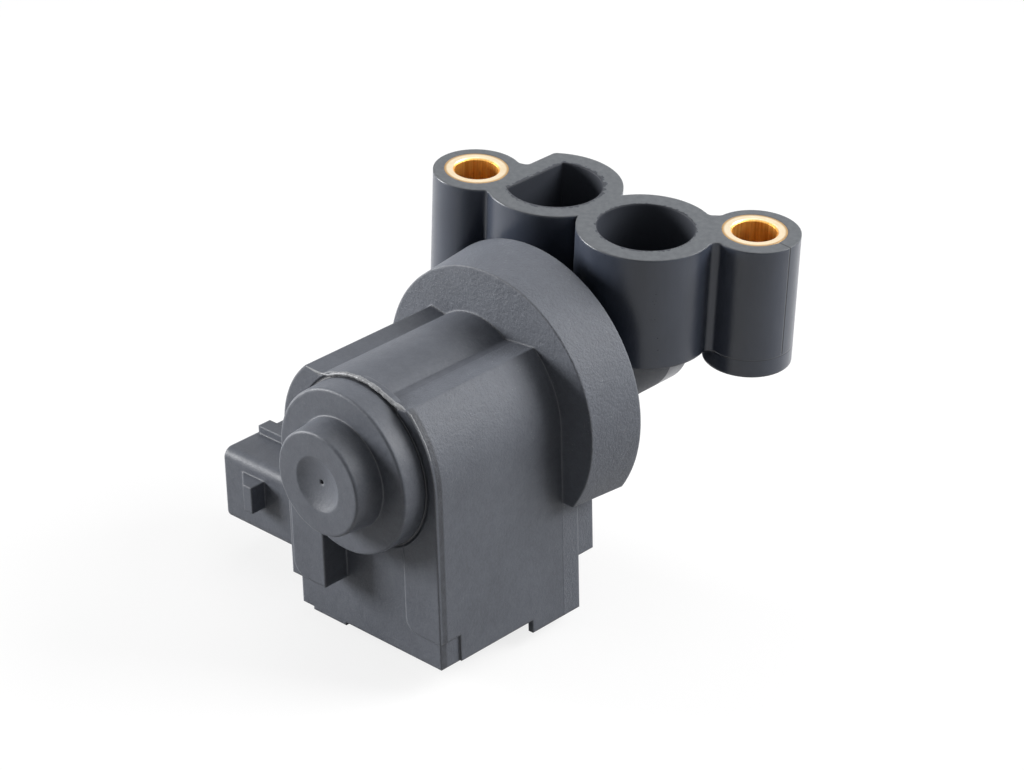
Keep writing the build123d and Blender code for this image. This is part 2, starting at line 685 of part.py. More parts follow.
# Coil bobbin: a box tube on the bar, with a flange at each end and one between the coils
with BuildPart() as coil_bobbin:
    with BuildSketch(side_plane(BOBBIN_END)):
        with Locations((-STACK_Y, CORE_Z)):
            Rectangle(*TUBE)
    extrude(amount=2 * BOBBIN_END)
    for edge in (BOBBIN_END, BOBBIN_FLANGE_T / 2, BOBBIN_FLANGE_T - BOBBIN_END):
        with BuildSketch(side_plane(edge)):
            with Locations((-STACK_Y, CORE_Z)):
                RectangleRounded(
                    TUBE[0] + 2 * (WINDING_D + BOBBIN_LIP), TUBE[1] + 2 * (WINDING_D + BOBBIN_LIP),
                    WINDING_ROUND,
                )
        extrude(amount=BOBBIN_FLANGE_T)
    with BuildSketch(side_plane(BOBBIN_END)):
        with Locations((-STACK_Y, CORE_Z)):
            Rectangle(STACK_L + 2 * BOBBIN_CLEAR, CORE_H + 2 * BOBBIN_CLEAR)
    extrude(amount=2 * BOBBIN_END, mode=Mode.SUBTRACT)
finish(coil_bobbin, "coil_bobbin")

# Two windings side by side on the bobbin
for name, edge in {"opening_coil": BOBBIN_END - BOBBIN_FLANGE_T, "closing_coil": -BOBBIN_FLANGE_T / 2}.items():
    with BuildPart() as winding:
        with BuildSketch(side_plane(edge)):
            with Locations((-STACK_Y, CORE_Z)):
                RectangleRounded(TUBE[0] + 2 * WINDING_D, TUBE[1] + 2 * WINDING_D, WINDING_ROUND)
                Rectangle(*TUBE, mode=Mode.SUBTRACT)
        extrude(amount=BOBBIN_END - 3 * BOBBIN_FLANGE_T / 2)
    finish(winding, name)


# Terminals, straight blades from the socket into the case
for number in range(BLADES):
    with BuildPart() as terminal:
        with BuildSketch(floor_plane(SHROUD_Z + BLADE_T / 2)) as blade:
            with Locations((SHROUD_END_X + BLADE_TIP_GAP, -SHROUD_Y + (number - 1) * BLADE_PITCH)):
                Rectangle(
                    BLADE_ROOT_X - SHROUD_END_X - BLADE_TIP_GAP, BLADE_W,
                    align=(Align.MIN, Align.CENTER),
                )
            chamfer(blade.vertices().group_by(Axis.X)[0], BLADE_TAPER)
        extrude(amount=BLADE_T)
    finish(terminal, f"terminal_{number + 1}")


# Carrier of the front bearing, clamped between the collar's bore and the spigot
with BuildPart() as bearing_carrier:
    with BuildSketch(AXIAL):
        with BuildLine():
            Polyline(
                (FRONT_SEAT[0], BEARING_R),
                (FRONT_SEAT[0], CARRIER_HUB_R),
                (CASE_BACK_Y, CARRIER_HUB_R),
                (CASE_BACK_Y, SPIGOT_R),
                (CASE_BACK_Y + CARRIER_T, SPIGOT_R),
                (CASE_BACK_Y + CARRIER_T, CHAMBER_R - CARRIER_FIT),
                (CASE_BACK_Y + CARRIER_T + CARRIER_SPIGOT, CHAMBER_R - CARRIER_FIT),
                (CASE_BACK_Y + CARRIER_T + CARRIER_SPIGOT, SHAFT_R + CARRIER_SHAFT_CLEAR),
                (FRONT_SEAT[1] + BEARING_RELIEF, SHAFT_R + CARRIER_SHAFT_CLEAR),
                (FRONT_SEAT[1] + BEARING_RELIEF, BEARING_RELIEF_R),
                (FRONT_SEAT[1], BEARING_RELIEF_R),
                (FRONT_SEAT[1], BEARING_R),
                close=True,
            )
        make_face()
    revolve(axis=MOTOR_AXIS)
finish(bearing_carrier, "bearing_carrier")

# Dished washer that loads the rear bearing along the shaft
with BuildPart() as preload_washer:
    with BuildSketch(AXIAL):
        with BuildLine():
            Polyline(
                (POCKET_Y, WASHER_R[1]),
                (POCKET_Y + WASHER_T, WASHER_R[1]),
                (REAR_SEAT[0], WASHER_R[0]),
                (REAR_SEAT[0] - WASHER_T, WASHER_R[0]),
                close=True,
            )
        make_face()
    revolve(axis=MOTOR_AXIS)
finish(preload_washer, "preload_washer")


# Rotor: shaft, magnet and the hub that holds it
with BuildPart() as rotor_shaft:
    with BuildSketch(chamber_plane(SHAFT_Y[1])):
        Circle(SHAFT_R)
    extrude(amount=SHAFT_Y[1] - SHAFT_Y[0])
    chamfer(rotor_shaft.edges().filter_by(GeomType.CIRCLE), SHAFT_CHAMFER)
finish(rotor_shaft, "rotor_shaft")

with BuildPart() as rotor_magnet:
    with BuildSketch(chamber_plane(STACK_Y + MAGNET_L / 2)):
        Circle(MAGNET_R)
        Circle(MAGNET_BORE_R, mode=Mode.SUBTRACT)
    extrude(amount=MAGNET_L)
finish(rotor_magnet, "rotor_magnet")

with BuildPart() as magnet_hub:
    for radius, long in ((HUB_NECK_R, HUB_L), (MAGNET_BORE_R, MAGNET_L)):
        with BuildSketch(chamber_plane(STACK_Y + long / 2)):
            Circle(radius)
        extrude(amount=long)
    with BuildSketch(chamber_plane(STACK_Y + HUB_L / 2)):
        Circle(SHAFT_R)
    extrude(amount=HUB_L, mode=Mode.SUBTRACT)
finish(magnet_hub, "magnet_hub")

# Rotary slide: part of a drum that covers or clears the round port's window
with BuildPart() as rotary_slide:
    with BuildSketch(chamber_plane(SLIDE_BACK_Y)):
        Circle(SLIDE_HUB_R)
        add(sector(SLIDE_R - SLIDE_T, SLIDE_R, SLIDE_START, SLIDE_SPAN))
    extrude(amount=SLIDE_BACK_Y - SLIDE_FRONT_Y)
    for back in (SLIDE_BACK_Y, SLIDE_FRONT_Y + SLIDE_WEB_T):
        with BuildSketch(chamber_plane(back)):
            add(sector(SHAFT_R, SLIDE_R - SLIDE_T / 2, SLIDE_START, SLIDE_SPAN))
        extrude(amount=SLIDE_WEB_T)
    with BuildSketch(chamber_plane(SLIDE_BACK_Y)):
        Circle(SHAFT_R)
    extrude(amount=SLIDE_BACK_Y - SLIDE_FRONT_Y, mode=Mode.SUBTRACT)
finish(rotary_slide, "rotary_slide")


# Ball bearings: rings with a groove, balls, and a cage with a pocket for each ball
BALL_ANGLES = [number * 360 / BALLS for number in range(BALLS)]
for place, middle_y in {"front": FRONT_BEARING_Y, "rear": REAR_BEARING_Y}.items():
    rings = {
        "outer_ring": (PITCH_R + SHOULDER, BEARING_R),
        "inner_ring": (SHAFT_R, PITCH_R - SHOULDER),
    }
    for name, (inner, outer) in rings.items():
        with BuildPart() as ring:
            with BuildSketch(AXIAL):
                with Locations((middle_y, inner)):
                    Rectangle(BEARING_W, outer - inner, align=(Align.CENTER, Align.MIN))
                with Locations((middle_y, PITCH_R)):
                    Circle(BALL_R + RACE_CLEAR, mode=Mode.SUBTRACT)
            revolve(axis=MOTOR_AXIS)
        finish(ring, f"{place}_{name}")
    with BuildPart() as cage:
        with BuildSketch(AXIAL):
            with Locations((middle_y, PITCH_R)):
                Rectangle(CAGE_W, 2 * CAGE_HALF_T)
        revolve(axis=MOTOR_AXIS)
        with Locations(*[ball_at(middle_y, angle) for angle in BALL_ANGLES]):
            Sphere(BALL_R + CAGE_POCKET_CLEAR, mode=Mode.SUBTRACT)
    finish(cage, f"{place}_cage")
    for number, angle in enumerate(BALL_ANGLES):
        with BuildPart() as ball:
            with Locations(ball_at(middle_y, angle)):
                Sphere(BALL_R)
        finish(ball, f"{place}_ball_{number + 1}")
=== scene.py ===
# %% [markdown]
# # An idle air control valve, from its plain solids to a studio picture
#
# The valve lets a little air past a closed throttle. A twin-coil motor turns a slide in a small
# chamber below two ports. What shows is mostly two dark mouldings: a grained motor housing and a
# smoother valve body with brass bushes. The solids come from the CAD model, in metres, and this
# lesson gives them their finishes, the fine detail, the light and the camera.

# %% Load the solids
import bpy
from math import cos, pi, radians, sin
from mathutils import Matrix, Vector


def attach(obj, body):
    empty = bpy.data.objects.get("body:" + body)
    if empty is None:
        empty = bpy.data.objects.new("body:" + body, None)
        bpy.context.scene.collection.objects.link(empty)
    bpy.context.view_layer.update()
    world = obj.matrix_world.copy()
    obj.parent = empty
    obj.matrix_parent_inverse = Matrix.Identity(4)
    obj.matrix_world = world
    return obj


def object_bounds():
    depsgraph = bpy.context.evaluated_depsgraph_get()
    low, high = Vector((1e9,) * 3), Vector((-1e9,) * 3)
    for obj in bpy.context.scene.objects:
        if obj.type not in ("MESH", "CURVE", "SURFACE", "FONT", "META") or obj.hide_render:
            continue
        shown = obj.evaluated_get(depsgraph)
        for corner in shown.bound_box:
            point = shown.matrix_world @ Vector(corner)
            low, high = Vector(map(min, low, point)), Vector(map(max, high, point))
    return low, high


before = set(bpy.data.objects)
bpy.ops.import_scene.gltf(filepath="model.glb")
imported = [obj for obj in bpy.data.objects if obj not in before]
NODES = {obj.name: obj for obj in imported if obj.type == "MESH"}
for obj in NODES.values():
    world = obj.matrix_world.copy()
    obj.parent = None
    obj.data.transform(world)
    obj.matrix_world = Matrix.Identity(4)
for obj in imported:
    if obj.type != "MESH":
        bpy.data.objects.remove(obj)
CAD_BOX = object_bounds()
MM = 0.001
print(f"{len(NODES)} solids, from {[round(v, 4) for v in CAD_BOX[0]]} to {[round(v, 4) for v in CAD_BOX[1]]}")

# %% [markdown]
# ## The camera
#
# A product photograph is taken from far away with a long lens, so that parallel edges stay nearly
# parallel. The camera could be placed by hand, but here its place follows from a few readings: a
# point that it looks at, a distance, a turn round the object, a height and a slight roll.

# %% Camera
AIM = Vector((-4.59, -15.29, -27.20)) * MM
DISTANCE = 512.2 * MM
TURN = radians(42.86)
RISE = radians(30.74)
ROLL = radians(2.08)
LENS = 122.5
NEAREST = 10 * MM

back = Vector((sin(TURN) * cos(RISE), -cos(TURN) * cos(RISE), sin(RISE)))
right = Vector((cos(TURN), sin(TURN), 0))
up = back.cross(right)
level = Matrix((right, up, back)).transposed().to_4x4()

camera_data = bpy.data.cameras.new("studio_camera")
camera_data.lens = LENS
camera_data.clip_start = NEAREST
camera = bpy.data.objects.new("studio_camera", camera_data)
bpy.context.scene.collection.objects.link(camera)
camera.matrix_world = Matrix.Translation(AIM + back * DISTANCE) @ level @ Matrix.Rotation(ROLL, 4, "Z")
bpy.context.scene.camera = camera
print("camera", [round(v, 3) for v in camera.location], "lens", LENS, "mm")

# %% [markdown]
# ## A small language for materials
#
# A material is a graph of nodes. Built by hand it takes a dozen lines for one sum, so one class
# wraps a socket and lets Python's own signs add the Math nodes. Then `1 - mask` is a node too, and
# a finish reads like the sum that it is.

# %% Sockets as Python values
class Wire:
    """A value that leaves a node of a graph."""

    def __init__(self, graph, socket):
        self.graph = graph
        self.socket = socket

    def math(self, operation, *others):
        return self.graph.node("ShaderNodeMath", {"operation": operation}, dict(enumerate((self, *others))))

    def __add__(self, other):
        return self.math("ADD", other)

    def __sub__(self, other):
        return self.math("SUBTRACT", other)

    def __mul__(self, other):
        return self.math("MULTIPLY", other)

    def __pow__(self, other):
        return self.math("POWER", other)

    def __rsub__(self, other):
        return self.graph.node("ShaderNodeMath", {"operation": "SUBTRACT"}, {0: other, 1: self})

    def __abs__(self):
        return self.math("ABSOLUTE")

    __radd__ = __add__
    __rmul__ = __mul__

    def sine(self):
        return self.math("SINE")

    def sign(self):
        return self.math("SIGN")

    def larger(self, other):
        return self.math("MAXIMUM", other)

    def between(self, low, high):
        """0 below low, 1 above high, and a straight rise from one to the other."""
        sockets = {"Value": self, "From Min": low, "From Max": high}
        return self.graph.node("ShaderNodeMapRange", {"clamp": True}, sockets)

    def near(self, centre, half, soft):
        """1 where the value is within half of a centre, fading out over a soft width."""
        return 1 - abs(self - centre).between(half, half + soft)


print("values can be added, multiplied and compared")

# %% [markdown]
# ## Graphs and finishes
#
# The world and the materials are both graphs, so what they share sits in one class. A finish is a
# graph that knows its place on the solid: all its patterns are worked out from there, with sizes in
# millimetres, so that nothing has to be unwrapped or painted.

# %% A graph of nodes
class Graph:
    """The nodes of a world or a material, none at first."""

    def __init__(self, tree):
        self.tree = tree
        self.tree.nodes.clear()

    def node(self, kind, settings=None, inputs=None, output=0):
        """Add a node, set its settings, then its sockets, and give one of its outputs, if it has any."""
        added = self.tree.nodes.new(kind)
        for name, value in (settings or {}).items():
            setattr(added, name, value)
        for name, value in (inputs or {}).items():
            socket = added.inputs[name]
            if isinstance(value, Wire):
                self.tree.links.new(value.socket, socket)
            else:
                socket.default_value = value
        return Wire(self, added.outputs[output]) if added.outputs else None

    def ray(self, kind):
        """1 for the rays of this kind."""
        return self.node("ShaderNodeLightPath", output=f"Is {kind} Ray")

    def looked_at(self):
        """1 for rays from the camera, off a mirror or through glass, which should find the background."""
        return self.ray("Camera").larger(self.ray("Glossy")).larger(self.ray("Transmission"))


print("a graph can be built")

# %% A finish for a solid
MOTOR_Z = -23.4
CASE_TURN = radians(4.3)
# Mix has a pair of inputs and an output for each type of data, and these are the ones for colours
MIX_FIRST, MIX_SECOND, MIX_RESULT = 6, 7, 2
BEVEL_SAMPLES = 8


class Finish(Graph):
    """A material's graph, with the patterns that the finishes share."""

    def __init__(self, name):
        self.material = bpy.data.materials.new(name)
        self.material.use_nodes = True
        super().__init__(self.material.node_tree)
        self.place = self.node("ShaderNodeTexCoord", output="Object")

    def scaled(self, x, y, z):
        """The place in the object, squeezed or stretched along each axis."""
        return self.node("ShaderNodeVectorMath", {"operation": "MULTIPLY"}, {0: self.place, 1: (x, y, z)})

    def axes(self):
        """The three coordinates of the place in the object, in millimetres."""
        millimetres = self.scaled(1 / MM, 1 / MM, 1 / MM)
        return [self.node("ShaderNodeSeparateXYZ", {}, {0: millimetres}, axis) for axis in "XYZ"]

    def case_axes(self):
        """Across the motor's case and up it, from the motor's axis, in millimetres."""
        x, _, z = self.axes()
        rise = z - MOTOR_Z
        return x * cos(CASE_TURN) + rise * sin(CASE_TURN), rise * cos(CASE_TURN) - x * sin(CASE_TURN)

    def noise(self, size, detail=3.0, roughness=0.5, place=None):
        """Soft blotches of about this size, in millimetres."""
        inputs = {"Vector": place or self.place, "Scale": 1 / (size * MM), "Detail": detail}
        return self.node("ShaderNodeTexNoise", {}, {**inputs, "Roughness": roughness})

    def cells(self, size):
        """Distance to the nearest of many scattered points about this far apart."""
        return self.node("ShaderNodeTexVoronoi", {}, {"Vector": self.place, "Scale": 1 / (size * MM)})

    def mix(self, mask, first, second):
        """One colour where the mask is 0 and the other where it is 1, as wires or as red, green, blue."""
        first, second = [colour if isinstance(colour, Wire) else (*colour, 1) for colour in (first, second)]
        sockets = {"Factor": mask, MIX_FIRST: first, MIX_SECOND: second}
        return self.node("ShaderNodeMix", {"data_type": "RGBA"}, sockets, MIX_RESULT)

    def bump(self, height, depth, under=None):
        """A relief of this depth, in millimetres, on top of another relief if one is given."""
        inputs = {"Height": height, "Distance": depth * MM, "Strength": 1.0}
        if under:
            inputs["Normal"] = under
        return self.node("ShaderNodeBump", {}, inputs)

    def round_edges(self, radius):
        """A normal that softens each sharp edge as if it had this radius, in millimetres."""
        return self.node("ShaderNodeBevel", {"samples": BEVEL_SAMPLES}, {"Radius": radius * MM})

    def worn_and_highlit_edge(self, radius):
        """1 along sharp edges, from how far a rounded normal leaves the true one; the finishes paint edge
        wear and a highlight there.
        """
        true = self.node("ShaderNodeNewGeometry", output="Normal")
        pair = {0: self.round_edges(radius), 1: true}
        alike = self.node("ShaderNodeVectorMath", {"operation": "DOT_PRODUCT"}, pair, "Value")
        return (1 - alike).between(0.01, 0.2)

    def shader(self, colour, rough, relief=None, fixed=None):
        """The shader of the finish: what varies is linked, what is even is set on its socket."""
        sockets = {"Base Color": colour, "Roughness": rough, **(fixed or {})}
        if relief:
            sockets["Normal"] = relief
        return self.node("ShaderNodeBsdfPrincipled", {}, sockets)

    def end(self, surface):
        """Link the surface to the graph's output and give the material."""
        self.node("ShaderNodeOutputMaterial", {}, {"Surface": surface})
        return self.material


print("a finish can be built, with", BEVEL_SAMPLES, "samples for each rounded edge")

# %% [markdown]
# ## From a function to a finish
#
# Each finish below is a function with the name of the slot that it fills. A decorator builds it at
# once and keeps it under that name, so that no list of finishes has to be kept up to date by hand.

# %% Keep each finish
made = {}


def fills_slot(build):
    """Build a finish and keep it under its function's name."""
    made[build.__name__] = build()
    print(build.__name__, "has", len(made[build.__name__].node_tree.nodes), "nodes")
    return build


print("finishes are kept by slot")

# %% [markdown]
# ## Painted shade in two recesses of the motor housing
#
# Shade is painted into two narrow places: the groove where the disc grows out of the end face, and the strip
# behind the case's front edge on the right. They are too narrow to cut into the solid, so masks find them
# from the distance to the motor's axis and to the front.

# %% Recesses
CASE_FRONT_Y = -50.0
DISC_R = 12.6
EDGE_FROM_X = 8.9


def foot_of_disc(y, across, rise):
    """1 in the groove round the foot of the disc, where shade is painted and the relief dips."""
    to_axis = (across ** 2 + rise ** 2) ** 0.5
    return y.near(CASE_FRONT_Y - 0.15, 0.2, 0.25) * to_axis.near(DISC_R, 0.3, 0.3)


def shade_behind_edge(y, across, mottle):
    """1 in the strip behind the front edge on the right, where shade is painted, broken up by a mottle."""
    strip = y.near(CASE_FRONT_Y + 0.65, 0.35, 0.3) * across.between(EDGE_FROM_X, EDGE_FROM_X + 0.5)
    return strip * (mottle.between(0.3, 0.6) * 0.4 + 0.6)


print("two recesses, at", CASE_FRONT_Y - 0.15, "and", CASE_FRONT_Y + 0.65, "mm along y")

# %% [markdown]
# ## The motor housing's plastic
#
# The housing is moulded in nylon with short glass fibres. Its mould is lightly eroded on the collar and the
# shoulder, so the skin there has a fine grain that scatters light, and a paler colour is painted there for
# the light that falls on it. Paler specks show where fibres reach the surface, and slow clouds show where the
# melt cooled unevenly. A single grey would look like a toy. Noises of different sizes give the clouds, the
# grain and the specks. A rounded normal catches light on the edges, and edge wear with a painted highlight
# lightens them.

# %% Housing plastic
SHOULDER_X = 5.3
COLLAR_Y = -25.2
HOUSING_DARK, HOUSING_PALE = (0.064, 0.070, 0.085), (0.124, 0.134, 0.156)
FIBRE = (0.27, 0.275, 0.28)
HOUSING_EDGE_WEAR_AND_HIGHLIGHT = (0.22, 0.225, 0.235)
HOUSING_SHADE = (0.012, 0.013, 0.017)


def eroded_and_lit_skin(y, across, rise):
    """1 on the collar and on the upper right of the case, where the mould is eroded and a paler colour is
    painted for the light there.
    """
    shoulder = across.between(SHOULDER_X - 0.2, SHOULDER_X) * rise.between(-4, 8)
    behind_front = y.between(CASE_FRONT_Y + 0.1, CASE_FRONT_Y + 0.4)
    return y.between(COLLAR_Y, COLLAR_Y + 0.1).larger(shoulder * behind_front)


@fills_slot
def housing_plastic():
    finish = Finish("housing_plastic")
    _, y, _ = finish.axes()
    across, rise = finish.case_axes()
    eroded_and_lit = eroded_and_lit_skin(y, across, rise)
    clouds = finish.noise(9, detail=2.0).between(0.3, 0.7)
    grain = finish.noise(0.42, detail=4.0, roughness=0.65)
    mottle = finish.noise(1.5, detail=3.0)
    fibre = (1 - finish.cells(0.6).between(0.05, 0.2)) * finish.noise(3, detail=1.0).between(0.5, 0.7)
    fine = grain.between(0.35, 0.65) * 0.25 + mottle.between(0.35, 0.65) * 0.15
    # a paler colour painted on the collar and the shoulder for the light that falls there
    plain = finish.mix(clouds * 0.25 + fine + eroded_and_lit * 0.35, HOUSING_DARK, HOUSING_PALE)
    specked = finish.mix(fibre * (eroded_and_lit * 0.45 + 0.2), plain, FIBRE)
    # edge wear and a painted highlight along sharp edges
    edge_worn_and_highlit = finish.mix(finish.worn_and_highlit_edge(0.3) * 0.4, specked, HOUSING_EDGE_WEAR_AND_HIGHLIGHT)
    groove = foot_of_disc(y, across, rise)
    painted_recess_shade = groove.larger(shade_behind_edge(y, across, mottle))
    # painted shade in the groove at the disc's foot and in the strip behind the front edge
    colour = finish.mix(painted_recess_shade * 0.75, edge_worn_and_highlit, HOUSING_SHADE)
    rough = grain.between(0.3, 0.7) * 0.12 + clouds * 0.06 + eroded_and_lit * 0.06 + 0.40
    relief = finish.bump(mottle, 0.05, under=finish.round_edges(0.5))
    relief = finish.bump(grain * (eroded_and_lit * 0.65 + 0.35), 0.12, under=relief)
    relief = finish.bump(1 - groove, 0.15, under=relief)
    fixed = {"IOR": 1.5, "Specular IOR Level": 0.35}
    return finish.end(finish.shader(colour, rough, relief, fixed))


# %% [markdown]
# ## The edges of the two ports
#
# The right port is round and the left one is D-shaped, with its flat at the left. After moulding
# their edges stay slightly ragged, and their walls get hardly any light. Modelling each crumb would
# take thousands of triangles. A mask from the distance to the edge does it, pushed in and out by a
# noise.

# %% Port edges
PORTS = ((9.0, -3.0), (-9.0, -3.0))
PORT_R = 7.1
PORT_FLAT_X = -12.9


def outside_ports(x, y):
    """How far a place is outside the round port, and outside the D-shaped one, in millimetres."""
    to_round, to_d = [((x - px) ** 2 + (y - py) ** 2) ** 0.5 - PORT_R for px, py in PORTS]
    return to_round, to_d.larger(PORT_FLAT_X - x)


def port_shade(finish, x, y, face):
    """1 on the ports' walls, and 1 on those walls and the crumbs along the edges on the face."""
    crumbs = finish.noise(0.9, detail=3.0, roughness=0.7)
    to_round, to_d = outside_ports(x, y)
    ragged = 1 - (abs(to_round) - crumbs.between(0.45, 0.65) * 0.5).between(0.02, 0.1)
    ragged_d = 1 - (abs(to_d) - crumbs.between(0.4, 0.6) * 0.65).between(0.02, 0.1)
    inside = (1 - to_round.between(0.02, 0.1)).larger(1 - to_d.between(0.02, 0.1))
    return inside, inside.larger(face * ragged.larger(ragged_d))


print(len(PORTS), "ports of radius", PORT_R, "mm")

# %% [markdown]
# ## Lines on the right-hand boss
#
# The two halves of the mould leave a parting line down the outside of the boss, and a step round it
# where the mould's lower half begins. Both are a few hundredths of a millimetre deep, so a dark
# line with a little relief is enough.

# %% Boss lines
BARREL_END_Z = -17.7
BOSS_X, BOSS_Y, BOSS_R = 20.61, 7.63, 6.55
SEAM_Y = BOSS_Y - 0.2


def boss_lines(x, y, z):
    """1 along the parting line of the right-hand boss, and a half along the step round it."""
    to_boss = ((x - BOSS_X) ** 2 + (y - BOSS_Y) ** 2) ** 0.5
    on_boss = 1 - to_boss.between(BOSS_R + 0.1, BOSS_R + 0.2)
    outer_side = x.between(BOSS_X + 4, BOSS_X + 5)
    seam = y.near(SEAM_Y, 0.06, 0.08) * outer_side * z.between(BARREL_END_Z, BARREL_END_Z + 0.5)
    step = z.near(BARREL_END_Z, 0.05, 0.1)
    return (seam + step * 0.5) * on_boss


print("the parting line is at y", round(SEAM_Y, 2), "mm")

# %% [markdown]
# ## The valve body's plastic
#
# The valve body comes from a polished mould, so it is darker and glossier than the housing. Only the sealing
# face differs: it is rubbed flat after moulding, which leaves it matt, and its paler colour is a painted
# reflection of the light from above. A mask from the height picks that face out, and the two masks above go
# on top.

# %% Valve body plastic
BODY_DARK, BODY_PALE = (0.034, 0.041, 0.059), (0.049, 0.058, 0.081)
BODY_EDGE_WEAR_AND_HIGHLIGHT = (0.13, 0.135, 0.145)
RUBBED_FACE_SHEEN_DARK, RUBBED_FACE_SHEEN_PALE = (0.076, 0.083, 0.092), (0.102, 0.110, 0.120)
PORT_SHADE = (0.009, 0.011, 0.016)
LINE_SHADE = (0.008, 0.009, 0.011)


@fills_slot
def valve_body_plastic():
    finish = Finish("valve_body_plastic")
    x, y, z = finish.axes()
    clouds = finish.noise(10, detail=2.0).between(0.3, 0.7)
    grain = finish.noise(0.3, detail=3.0)
    flow = finish.noise(2.0, detail=2.0, place=finish.scaled(1, 1, 0.2))
    scuffs = finish.noise(0.8, detail=4.0, roughness=0.7).between(0.62, 0.72)
    rubbed = finish.noise(0.9, detail=4.0, roughness=0.6)
    plain = finish.mix(clouds * 0.6 + flow.between(0.3, 0.7) * 0.4, BODY_DARK, BODY_PALE)
    # edge wear and a painted highlight along sharp edges
    edge_worn_and_highlit = finish.mix(finish.worn_and_highlit_edge(0.3) * 0.5, plain, BODY_EDGE_WEAR_AND_HIGHLIGHT)
    face = z.between(-0.06, -0.02)
    # painted reflection on the sealing face, varied by its rubbed mottle
    face_sheen_tone = finish.mix(rubbed.between(0.35, 0.65), RUBBED_FACE_SHEEN_DARK, RUBBED_FACE_SHEEN_PALE)
    inside, shade = port_shade(finish, x, y, face)
    rimmed = finish.mix(shade * 0.75, edge_worn_and_highlit, PORT_SHADE)
    face_sheened = finish.mix(face * (1 - shade), rimmed, face_sheen_tone)
    line = boss_lines(x, y, z)
    colour = finish.mix(line * 0.8, face_sheened, LINE_SHADE)
    fine = grain.between(0.3, 0.7) * 0.05 + flow * 0.10 + scuffs * 0.1
    rough = fine + face * 0.22 + inside * 0.35 + 0.24
    relief = finish.bump(flow, 0.015, under=finish.round_edges(0.5))
    relief = finish.bump(grain * 0.4 + rubbed * face * 0.6, 0.015, under=relief)
    relief = finish.bump(1 - line, 0.08, under=relief)
    fixed = {"IOR": 1.5, "Specular IOR Level": 0.45}
    return finish.end(finish.shader(colour, rough, relief, fixed))


# %% [markdown]
# ## Brass bushes
#
# Each bush is turned from brass bar: fine rings on its face, a slightly darker chamfer, and a bore
# that looks deep amber, because light in it has bounced between its walls several times. The same
# graph serves both bushes. They lie at opposite points about the middle of the sealing face, so
# the sign of x picks the nearer bolt hole as the centre of the rings.

# %% Brass
BOLT_X, BOLT_Y = 20.257, 7.776
BUSH_BORE_R = 3.25
CHAMFER_FROM_R, CHAMFER_TO_R = 4.3, 4.6
RINGS_PER_MM = 70
METAL = {"Metallic": 1.0}
BRASS_PALE, BRASS_DULL = (0.92, 0.78, 0.56), (0.80, 0.65, 0.43)
BRASS_CHAMFER = (0.50, 0.30, 0.12)
BORE_PALE, BORE_DARK = (0.80, 0.46, 0.12), (0.58, 0.27, 0.05)


@fills_slot
def bush_brass():
    finish = Finish("bush_brass")
    x, y, _ = finish.axes()
    across, along = abs(x) - BOLT_X, y * x.sign() - BOLT_Y
    radius = (across ** 2 + along ** 2) ** 0.5
    bore = 1 - radius.between(BUSH_BORE_R + 0.1, BUSH_BORE_R + 0.3)
    rings = (radius * RINGS_PER_MM).sine() * 0.5 + 0.5
    streaks = finish.noise(0.35, detail=3.0, place=finish.scaled(1, 1, 0.04))
    dull = finish.noise(1.8, detail=3.0).between(0.35, 0.7)
    face = finish.mix(dull, BRASS_PALE, BRASS_DULL)
    outer = finish.mix(radius.between(CHAMFER_FROM_R, CHAMFER_TO_R), face, BRASS_CHAMFER)
    inner = finish.mix(streaks.between(0.35, 0.65), BORE_PALE, BORE_DARK)
    colour = finish.mix(bore, outer, inner)
    rough = rings * 0.05 + dull * 0.1 + bore * 0.14 + 0.26
    relief = finish.bump(rings * (1 - bore), 0.004, under=finish.round_edges(0.1))
    relief = finish.bump(streaks * bore, 0.03, under=relief)
    return finish.end(finish.shader(colour, rough, relief, METAL))


# %% [markdown]
# ## Plastics and rubber that show little
#
# The base cover is the housing's plastic from a smoother mould. The slide is a glass-filled
# plastic that slides on air, so it is dark, even and slightly polished. The bobbin is natural
# nylon, amber brown, and the seal is black rubber with a bloom. One function makes all four,
# because they differ only in tone, gloss and the size of their grain.

# %% Plain mouldings
EDGE_LIFT = 1.8


def moulding(name, dark, pale, gloss, grain_size, depth):
    finish = Finish(name)
    clouds = finish.noise(grain_size * 12, detail=2.0).between(0.3, 0.7)
    grain = finish.noise(grain_size, detail=4.0, roughness=0.6)
    plain = finish.mix(clouds * 0.5 + grain.between(0.3, 0.7) * 0.5, dark, pale)
    # a paler colour for edge wear and a painted highlight along sharp edges
    lit = tuple(min(1.0, channel * EDGE_LIFT) for channel in pale)
    colour = finish.mix(finish.worn_and_highlit_edge(0.2) * 0.4, plain, lit)
    rough = grain.between(0.3, 0.7) * 0.1 + clouds * 0.08 + gloss
    relief = finish.bump(grain, depth, under=finish.round_edges(0.25))
    return finish.end(finish.shader(colour, rough, relief, {"IOR": 1.5}))


@fills_slot
def cover_plastic():
    return moulding("cover_plastic", (0.070, 0.074, 0.082), (0.100, 0.105, 0.114), 0.40, 0.4, 0.02)


@fills_slot
def slide_plastic():
    return moulding("slide_plastic", (0.045, 0.044, 0.042), (0.072, 0.070, 0.067), 0.28, 0.25, 0.006)


@fills_slot
def bobbin_plastic():
    return moulding("bobbin_plastic", (0.42, 0.30, 0.16), (0.55, 0.41, 0.24), 0.38, 0.3, 0.008)


@fills_slot
def seal_rubber():
    return moulding("seal_rubber", (0.018, 0.018, 0.019), (0.040, 0.040, 0.041), 0.62, 0.2, 0.01)


# %% [markdown]
# ## Turned and ground steel
#
# Turned and ground parts carry fine lines round their axis, which here always runs along y: a noise
# that changes fast along y and slowly across it draws them. A brushed texture made by hand would
# have to be turned for each part. This one is right for all of them, since they share one axis.

